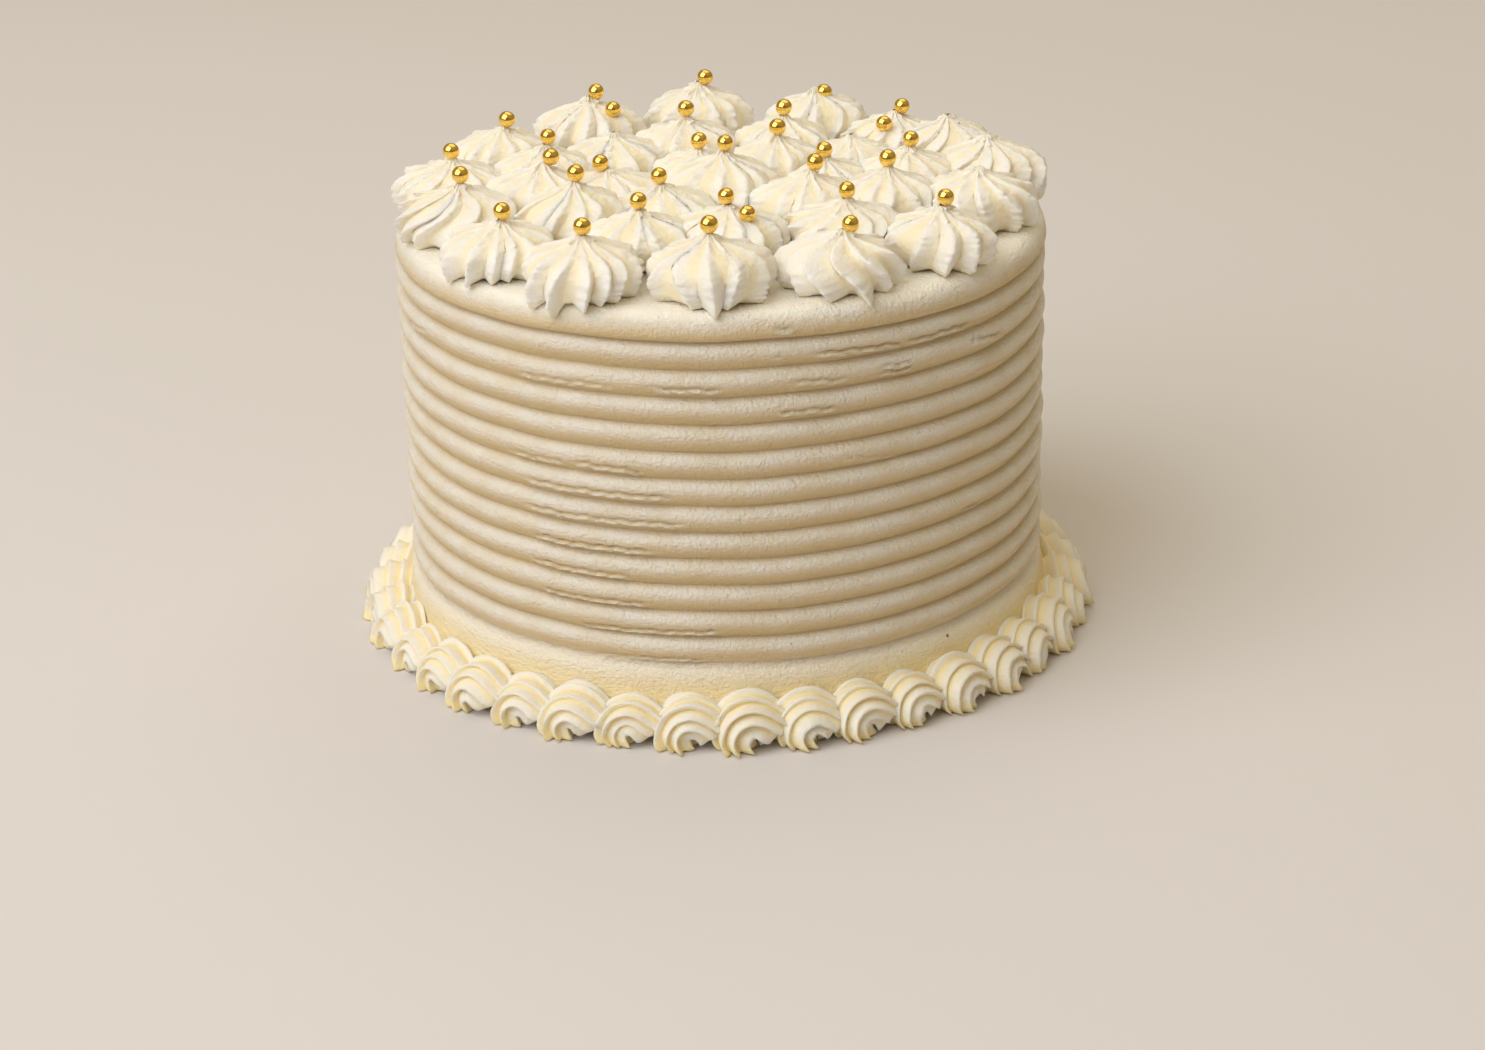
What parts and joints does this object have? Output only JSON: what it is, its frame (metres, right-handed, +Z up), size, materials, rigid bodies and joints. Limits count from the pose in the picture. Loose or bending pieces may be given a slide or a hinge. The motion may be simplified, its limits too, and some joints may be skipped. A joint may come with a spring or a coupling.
{
  "type": "layer cake",
  "caption": "Round iced layer cake with a combed side, a piped shell border, star-piped kisses over the top and small gold sugar balls.",
  "frame": {"origin": "centre of the cake's flat base, on the surface that it rests on", "axes": "+Z up along the cake's axis, -Y towards the camera, +X to the right in the picture"},
  "size_m": [0.1847, 0.1846, 0.1206],
  "materials": {
    "side_icing": "soft satin buttercream, combed",
    "border_icing": "soft satin buttercream, piped",
    "kiss_icing": "soft satin buttercream, piped",
    "gold": "polished gold coating on sugar balls"
  },
  "bodies": {
    "root": {"iced_cake": "side_icing", "shell_border": "border_icing", "kiss_01": "kiss_icing", "kiss_02": "kiss_icing", "kiss_03": "kiss_icing", "kiss_04": "kiss_icing", "kiss_05": "kiss_icing", "kiss_06": "kiss_icing", "kiss_07": "kiss_icing", "kiss_08": "kiss_icing", "kiss_09": "kiss_icing", "kiss_10": "kiss_icing", "kiss_11": "kiss_icing", "kiss_12": "kiss_icing", "kiss_13": "kiss_icing", "kiss_14": "kiss_icing", "kiss_15": "kiss_icing", "kiss_16": "kiss_icing", "kiss_17": "kiss_icing", "kiss_18": "kiss_icing", "kiss_19": "kiss_icing", "kiss_20": "kiss_icing", "kiss_21": "kiss_icing", "kiss_22": "kiss_icing", "kiss_23": "kiss_icing", "kiss_24": "kiss_icing", "kiss_25": "kiss_icing", "kiss_26": "kiss_icing", "kiss_27": "kiss_icing", "kiss_28": "kiss_icing", "kiss_29": "kiss_icing", "kiss_30": "kiss_icing", "kiss_31": "kiss_icing", "kiss_32": "kiss_icing", "kiss_33": "kiss_icing", "kiss_34": "kiss_icing"}
  },
  "joints": []
}
